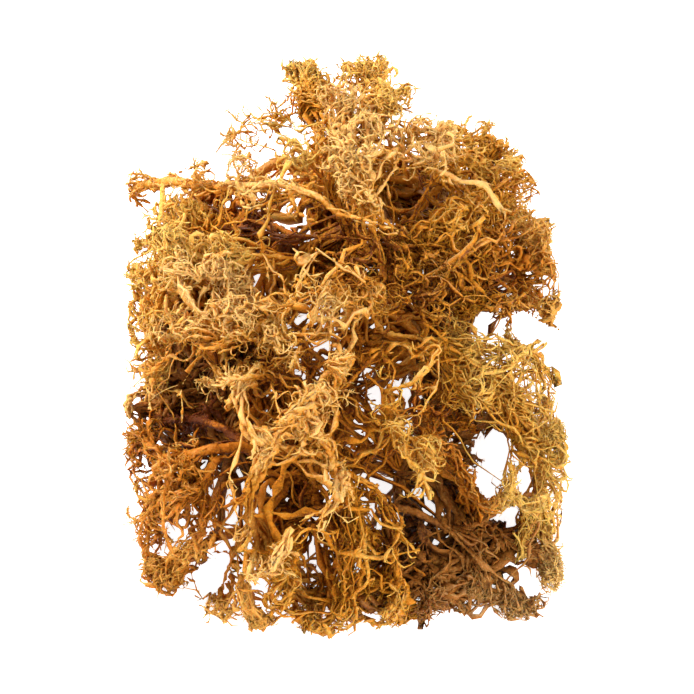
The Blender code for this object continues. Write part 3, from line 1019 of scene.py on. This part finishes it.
def mesh_of_strands(name, kinds, rng):
    """One mesh of closed tubes from strands of several kinds."""
    parts = [kind.surface(rng) for kind in kinds if len(kind)]
    firsts = np.cumsum([0] + [len(part[0]) for part in parts[:-1]])
    points = np.concatenate([part[0] for part in parts])
    corners = np.concatenate([part[1] + first for part, first in zip(parts, firsts)])
    sizes = np.concatenate([part[2] for part in parts])
    points[:, 2] = np.maximum(points[:, 2], FLOOR_CLEARANCE)
    mesh = bpy.data.meshes.new(name)
    mesh.vertices.add(len(points))
    mesh.vertices.foreach_set("co", (points * MM).ravel())
    mesh.loops.add(len(corners))
    mesh.loops.foreach_set("vertex_index", corners.astype(np.int32))
    mesh.polygons.add(len(sizes))
    mesh.polygons.foreach_set("loop_start", np.cumsum(np.append(0, sizes[:-1])).astype(np.int32))
    mesh.update(calc_edges=True)
    mesh.polygons.foreach_set("use_smooth", np.ones(len(sizes), dtype=bool))
    return mesh, np.concatenate([part[3] for part in parts])


def points_of(mesh):
    """A mesh's points in millimetres."""
    points = np.empty(len(mesh.vertices) * 3)
    mesh.vertices.foreach_get("co", points)
    return points.reshape(-1, 3) / MM


def set_attribute(mesh, name, values):
    attribute = mesh.attributes.new(name, "FLOAT", "POINT")
    attribute.data.foreach_set("value", values.astype(np.float32))


def paint(mesh, paints, tone):
    """Writes what the finishes read: the way to the tip, chance, facing up, light and tone."""
    points = points_of(mesh)
    zones = ZONES.at(points)
    for name, values in zip(("to_tip", "chance", "facing"), paints.T):
        set_attribute(mesh, name, values)
    # The share of light that gets in, which the colour paints as shade.
    set_attribute(mesh, "light", CROWDING.light_at(points))
    set_attribute(mesh, "tone", tone + 0.10 * zones[:, 0])


def dressed(node, habit, tone, finish, shape):
    """The piece that stands for a node: its skin and strands in one mesh."""
    name = "moss_" + node
    skin = skin_of(node, name, habit)
    rng = generator("skin", node, shape.seed)
    skin_points = points_of(skin.data)
    skin_chance = np.clip(0.5 + 0.35 * TUFTS.at(skin_points * 1.7)[:, 0], 0, 1)
    normals = np.empty(len(skin_points) * 3)
    skin.data.vertex_normals.foreach_get("vector", normals)
    # The skin's facing feeds the painted light on up-facing sides.
    skin_paints = np.stack((skin_points[:, 0] * 0, skin_chance, normals.reshape(-1, 3)[:, 2]), axis=1)
    paint(skin.data, skin_paints, tone)
    mesh, paints = mesh_of_strands(name + "_strands", strands_of(LIMBS[node], habit, shape), rng)
    paint(mesh, paints, tone)
    strands = bpy.data.objects.new(name + "_strands", mesh)
    bpy.context.collection.objects.link(strands)
    make_active(skin)
    strands.select_set(True)
    bpy.ops.object.join()
    skin.data.name = name
    skin.data.materials.clear()
    skin.data.materials.append(finish_material(finish))
    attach(skin, "root")
    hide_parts(node)
    return skin


# ---------------------------------------------------------------------------------------------
# Finishes


def new_group(name, inputs, outputs):
    """A shader node group with its sockets, and its input and output nodes."""
    group = bpy.data.node_groups.new(name, "ShaderNodeTree")
    for socket, kind, value in inputs:
        item = group.interface.new_socket(socket, in_out="INPUT", socket_type="NodeSocket" + kind)
        item.default_value = value
    for socket, kind in outputs:
        group.interface.new_socket(socket, in_out="OUTPUT", socket_type="NodeSocket" + kind)
    start = group.nodes.new("NodeGroupInput")
    end = group.nodes.new("NodeGroupOutput")
    return group, start, end


class Wiring:
    """Short calls that add nodes to a tree and link them."""

    def __init__(self, tree):
        self.tree = tree

    def plug(self, socket, value):
        if isinstance(value, bpy.types.NodeSocket):
            self.tree.links.new(value, socket)
        else:
            socket.default_value = value

    def node(self, kind, settings=None, **inputs):
        node = self.tree.nodes.new(kind)
        for name, value in (settings or {}).items():
            setattr(node, name, value)
        for name, value in inputs.items():
            self.plug(node.inputs[name.replace("_", " ")], value)
        return node

    def attribute(self, name):
        return self.node("ShaderNodeAttribute", {"attribute_name": name}).outputs["Fac"]

    def math(self, operation, first, second=0.0, third=0.0):
        node = self.tree.nodes.new("ShaderNodeMath")
        node.operation = operation
        for socket, value in zip(node.inputs, (first, second, third)):
            self.plug(socket, value)
        return node.outputs[0]

    def ramp(self, value, low, high, to_low=0.0, to_high=1.0):
        node = self.tree.nodes.new("ShaderNodeMapRange")
        node.interpolation_type = "SMOOTHSTEP"
        for socket, number in zip(node.inputs, (value, low, high, to_low, to_high)):
            self.plug(socket, number)
        return node.outputs[0]

    def noise(self, scale, detail=3.0, roughness=0.55):
        place = self.tree.nodes.new("ShaderNodeTexCoord")
        node = self.node(
            "ShaderNodeTexNoise", Vector=place.outputs["Object"],
            Scale=scale / MM, Detail=detail, Roughness=roughness,
        )
        return node.outputs["Fac"]

    def blend(self, share, first, second):
        node = self.tree.nodes.new("ShaderNodeMix")
        node.data_type = "RGBA"
        for name, value in (("Factor_Float", share), ("A_Color", first), ("B_Color", second)):
            socket = next(item for item in node.inputs if item.identifier == name)
            self.plug(socket, value)
        return next(item for item in node.outputs if item.identifier == "Result_Color")


# How much each attribute of a point adds to how pale it is. Chance is random tone; light is painted shade,
# darker where little light gets in; facing is painted light, paler on up-facing sides.
PALE_START = 0.03
PALE_SHARES = {"chance": 0.18, "light": 0.65, "facing": 0.30}
MOTTLE = 1.0
# Colour of the painted highlight on lit, up-facing sides.
HIGHLIGHT_COLOUR = (0.95, 0.79, 0.52, 1)


def colour_group():
    """The colour of dried frond: darker with painted shade where it is crowded, paler at tips, and painted
    paler with a painted highlight on lit, up-facing tops.
    """
    name = "dried_frond_colour"
    if name in bpy.data.node_groups:
        return bpy.data.node_groups[name]
    inputs = [
        ("Dark", "Color", (0.1, 0.03, 0.01, 1)),
        ("Middle", "Color", (0.5, 0.25, 0.05, 1)),
        ("Light", "Color", (0.9, 0.6, 0.25, 1)),
        ("Patches", "Float", 0.3),
        ("Tip paleness", "Float", 0.2),
        ("Bleach", "Float", 0.3),
    ]
    group, start, end = new_group(name, inputs, [("Colour", "Color"), ("Level", "Float")])
    wiring = Wiring(group)
    socket = start.outputs
    level = wiring.math("ADD", wiring.attribute("tone"), PALE_START)
    # Painted shade and painted light: the light and facing attributes make crowded places darker and
    # up-facing sides paler.
    for attribute, share in PALE_SHARES.items():
        level = wiring.math("MULTIPLY_ADD", wiring.attribute(attribute), share, level)
    patches = wiring.math("SUBTRACT", wiring.noise(0.09, 4.0), 0.5)
    level = wiring.math("MULTIPLY_ADD", patches, socket["Patches"], level)
    mottle = wiring.math("SUBTRACT", wiring.noise(1.2, 3.0, 0.7), 0.5)
    level = wiring.math("MULTIPLY_ADD", mottle, MOTTLE, level)
    tips = wiring.math("MULTIPLY", wiring.attribute("to_tip"), socket["Tip paleness"])
    level = wiring.math("ADD", level, tips)
    body = wiring.blend(wiring.ramp(level, 0.10, 0.55), socket["Dark"], socket["Middle"])
    body = wiring.blend(wiring.ramp(level, 0.52, 1.05), body, socket["Light"])
    # A painted highlight: the pale colour mixed in where an up-facing side gets light.
    highlight_share = wiring.math("MULTIPLY", wiring.attribute("facing"), wiring.attribute("light"))
    highlight_share = wiring.math("MULTIPLY", wiring.ramp(highlight_share, 0.2, 0.8), socket["Bleach"])
    body = wiring.blend(highlight_share, body, HIGHLIGHT_COLOUR)
    wiring.plug(end.inputs["Colour"], body)
    wiring.plug(end.inputs["Level"], level)
    return group


def wrinkle_group():
    """The fine shrivelled relief of dried frond, as a height, and how rough it is."""
    name = "dried_frond_wrinkles"
    if name in bpy.data.node_groups:
        return bpy.data.node_groups[name]
    inputs = [("Rough", "Float", 0.55), ("Fine", "Float", 0.5)]
    group, start, end = new_group(name, inputs, [("Height", "Float"), ("Roughness", "Float")])
    wiring = Wiring(group)
    coarse = wiring.noise(0.9, 2.0)
    fine = wiring.noise(3.2, 2.0)
    height = wiring.math("MULTIPLY_ADD", fine, start.outputs["Fine"], coarse)
    rough = wiring.math("SUBTRACT", wiring.noise(0.5, 2.0), 0.5)
    rough = wiring.math("MULTIPLY_ADD", rough, 0.35, start.outputs["Rough"])
    wiring.plug(end.inputs["Height"], height)
    wiring.plug(end.inputs["Roughness"], rough)
    return group


def finish_material(finish):
    """The material of one finish, made once."""
    name = "dried_" + finish
    if name in bpy.data.materials:
        return bpy.data.materials[name]
    dark, middle, light = FINISHES[finish]
    material = bpy.data.materials.new(name)
    material.use_nodes = True
    tree = material.node_tree
    shader = tree.nodes["Principled BSDF"]
    shader.inputs["Subsurface Weight"].default_value = 0.3
    shader.inputs["Subsurface Radius"].default_value = (1.0, 0.45, 0.15)
    shader.inputs["Subsurface Scale"].default_value = 1.2 * MM
    shader.inputs["Specular IOR Level"].default_value = 0.12
    wiring = Wiring(tree)
    # The colour paints shade where little light gets in, paints up-facing sides paler and adds a painted
    # highlight on lit tops.
    colour = wiring.node(
        "ShaderNodeGroup", {"node_tree": colour_group()},
        Dark=(*dark, 1), Middle=(*middle, 1), Light=(*light, 1),
        Patches=0.45, Tip_paleness=0.12, Bleach=0.18,
    )
    wrinkles = wiring.node("ShaderNodeGroup", {"node_tree": wrinkle_group()}, Rough=0.52, Fine=0.45)
    bump = wiring.node(
        "ShaderNodeBump", Strength=0.9, Distance=0.8 * MM, Height=wrinkles.outputs["Height"],
    )
    wiring.plug(shader.inputs["Base Color"], colour.outputs["Colour"])
    wiring.plug(shader.inputs["Roughness"], wrinkles.outputs["Roughness"])
    wiring.plug(shader.inputs["Normal"], bump.outputs["Normal"])
    return material


# ---------------------------------------------------------------------------------------------
# Operators


def frond_of(node):
    """The frond that a node belongs to: the name before its part."""
    return node.split("_stem")[0].split("_fork")[0]


def slots_of_nodes():
    """The record's material slot of each node."""
    return {row["node"]: row["material_slot"] for row in frame["record"]["subparts"]}


class FrondOperator:
    """What the frond operators share: each dresses the fronds of its habits."""

    bl_options = {"REGISTER", "UNDO"}
    habits = ()

    def execute(self, context):
        shape = context.scene.sea_moss_shape
        for node in sorted(frame["nodes"]):
            frond = max((name for name in FRONDS if node.startswith(name)), key=len)
            habit, tone = FRONDS[frond]
            if habit in self.habits:
                dressed(node, HABITS[habit], tone, SLOTS[node], shape)
        return {"FINISHED"}


class SEAMOSS_OT_bushy(FrondOperator, bpy.types.Operator):
    """Dresses the bushy fronds with short curling strands"""

    bl_idname = "sea_moss.bushy"
    bl_label = "Bushy fronds"
    habits = ("bushy",)


class SEAMOSS_OT_looped(FrondOperator, bpy.types.Operator):
    """Dresses the fronds that run in loops at the near end"""

    bl_idname = "sea_moss.looped"
    bl_label = "Looped fronds"
    habits = ("looped",)


class SEAMOSS_OT_combed(FrondOperator, bpy.types.Operator):
    """Dresses the arm and the edge whose strands lie side by side"""

    bl_idname = "sea_moss.combed"
    bl_label = "Combed fronds"
    habits = ("combed",)


class SEAMOSS_OT_ropy(FrondOperator, bpy.types.Operator):
    """Dresses the fronds whose stems show"""

    bl_idname = "sea_moss.ropy"
    bl_label = "Ropy and bare fronds"
    habits = ("ropy", "corded", "bare", "wispy")


class SEAMOSS_OT_low(FrondOperator, bpy.types.Operator):
    """Dresses the dark fronds that carry the clump"""

    bl_idname = "sea_moss.low"
    bl_label = "Low and back fronds"
    habits = ("low",)


class SEAMOSS_OT_stage(bpy.types.Operator):
    """Sets up the floor, the lights and the camera"""

    bl_idname = "sea_moss.stage"
    bl_label = "Stage"
    bl_options = {"REGISTER", "UNDO"}

    def execute(self, context):
        settings = context.scene.sea_moss_stage
        make_floor(settings)
        make_lights(settings)
        make_camera(settings)
        return {"FINISHED"}


def make_floor(settings):
    """A wide pale floor."""
    deselect_all()
    bpy.ops.mesh.primitive_plane_add(size=FLOOR_SIZE, location=(0, 0, 0))
    floor = bpy.context.object
    floor.name = "floor"
    material = bpy.data.materials.new("floor_paper")
    material.use_nodes = True
    shader = material.node_tree.nodes["Principled BSDF"]
    shader.inputs["Base Color"].default_value = (*settings.floor_colour, 1)
    shader.inputs["Roughness"].default_value = 0.9
    shader.inputs["Specular IOR Level"].default_value = 0.1
    shader.inputs["Emission Color"].default_value = (1, 1, 1, 1)
    shader.inputs["Emission Strength"].default_value = settings.floor_glow
    floor.data.materials.append(material)


def make_lights(settings):
    """A large key on the upper left, a fill on the right and an even sky."""
    world = bpy.data.worlds.new("studio")
    world.use_nodes = True
    sky = world.node_tree.nodes["Background"]
    sky.inputs["Color"].default_value = (1.0, 1.0, 1.0, 1)
    sky.inputs["Strength"].default_value = SKY_STRENGTH
    bpy.context.scene.world = world
    bpy.context.scene.view_settings.view_transform = "Standard"
    for name, (place, size, power) in LIGHTS.items():
        data = bpy.data.lights.new(name, "AREA")
        data.energy = settings.key_power * power
        data.size = size
        light = bpy.data.objects.new(name, data)
        light.location = place
        light.rotation_euler = (-Vector(place)).to_track_quat("-Z", "Y").to_euler()
        bpy.context.collection.objects.link(light)


def make_camera(settings):
    """The camera looks down on the clump from its near end."""
    data = bpy.data.cameras.new("camera")
    data.lens = settings.camera_lens
    data.sensor_width = SENSOR_WIDTH
    camera = bpy.data.objects.new("camera", data)
    angle = settings.camera_height_angle
    back = Vector((0, -math.cos(angle), math.sin(angle)))
    camera.location = CAMERA_TARGET + settings.camera_distance * back
    camera.rotation_euler = (math.pi / 2 - angle, 0, 0)
    bpy.context.collection.objects.link(camera)
    bpy.context.scene.camera = camera


class SEAMOSS_PT_panel(bpy.types.Panel):
    """Sea moss settings and steps"""

    bl_idname = "SEAMOSS_PT_panel"
    bl_label = "Sea moss"
    bl_space_type = "VIEW_3D"
    bl_region_type = "UI"
    bl_category = "Sea moss"

    def draw(self, context):
        for settings in (context.scene.sea_moss_shape, context.scene.sea_moss_stage):
            box = self.layout.box()
            for name in settings.__annotations__:
                box.prop(settings, name)
        for operator in OPERATORS:
            self.layout.operator(operator.bl_idname)


OPERATORS = (
    SEAMOSS_OT_bushy, SEAMOSS_OT_looped, SEAMOSS_OT_combed, SEAMOSS_OT_ropy, SEAMOSS_OT_low,
    SEAMOSS_OT_stage,
)
CLASSES = (SeaMossShape, SeaMossStage, *OPERATORS, SEAMOSS_PT_panel)


def register():
    for item in CLASSES:
        bpy.utils.register_class(item)
    bpy.types.Scene.sea_moss_shape = PointerProperty(type=SeaMossShape)
    bpy.types.Scene.sea_moss_stage = PointerProperty(type=SeaMossStage)


def unregister():
    del bpy.types.Scene.sea_moss_stage
    del bpy.types.Scene.sea_moss_shape
    for item in reversed(CLASSES):
        bpy.utils.unregister_class(item)


SLOTS = slots_of_nodes()
BOX_LOW, BOX_HIGH = np.array(CAD_BOX) / MM
BOX_MIDDLE = (BOX_LOW + BOX_HIGH) / 2
BOX_HALF = (BOX_HIGH - BOX_LOW) / 2
LIMBS = {node: Limb(node) for node in sorted(frame["nodes"])}
CROWDING = Crowding(LIMBS.values())


def main():
    register()
    bpy.ops.sea_moss.bushy()
    bpy.ops.sea_moss.looped()
    bpy.ops.sea_moss.combed()
    bpy.ops.sea_moss.ropy()
    bpy.ops.sea_moss.low()
    bpy.ops.sea_moss.stage()
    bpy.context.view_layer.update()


if __name__ == "__main__":
    main()
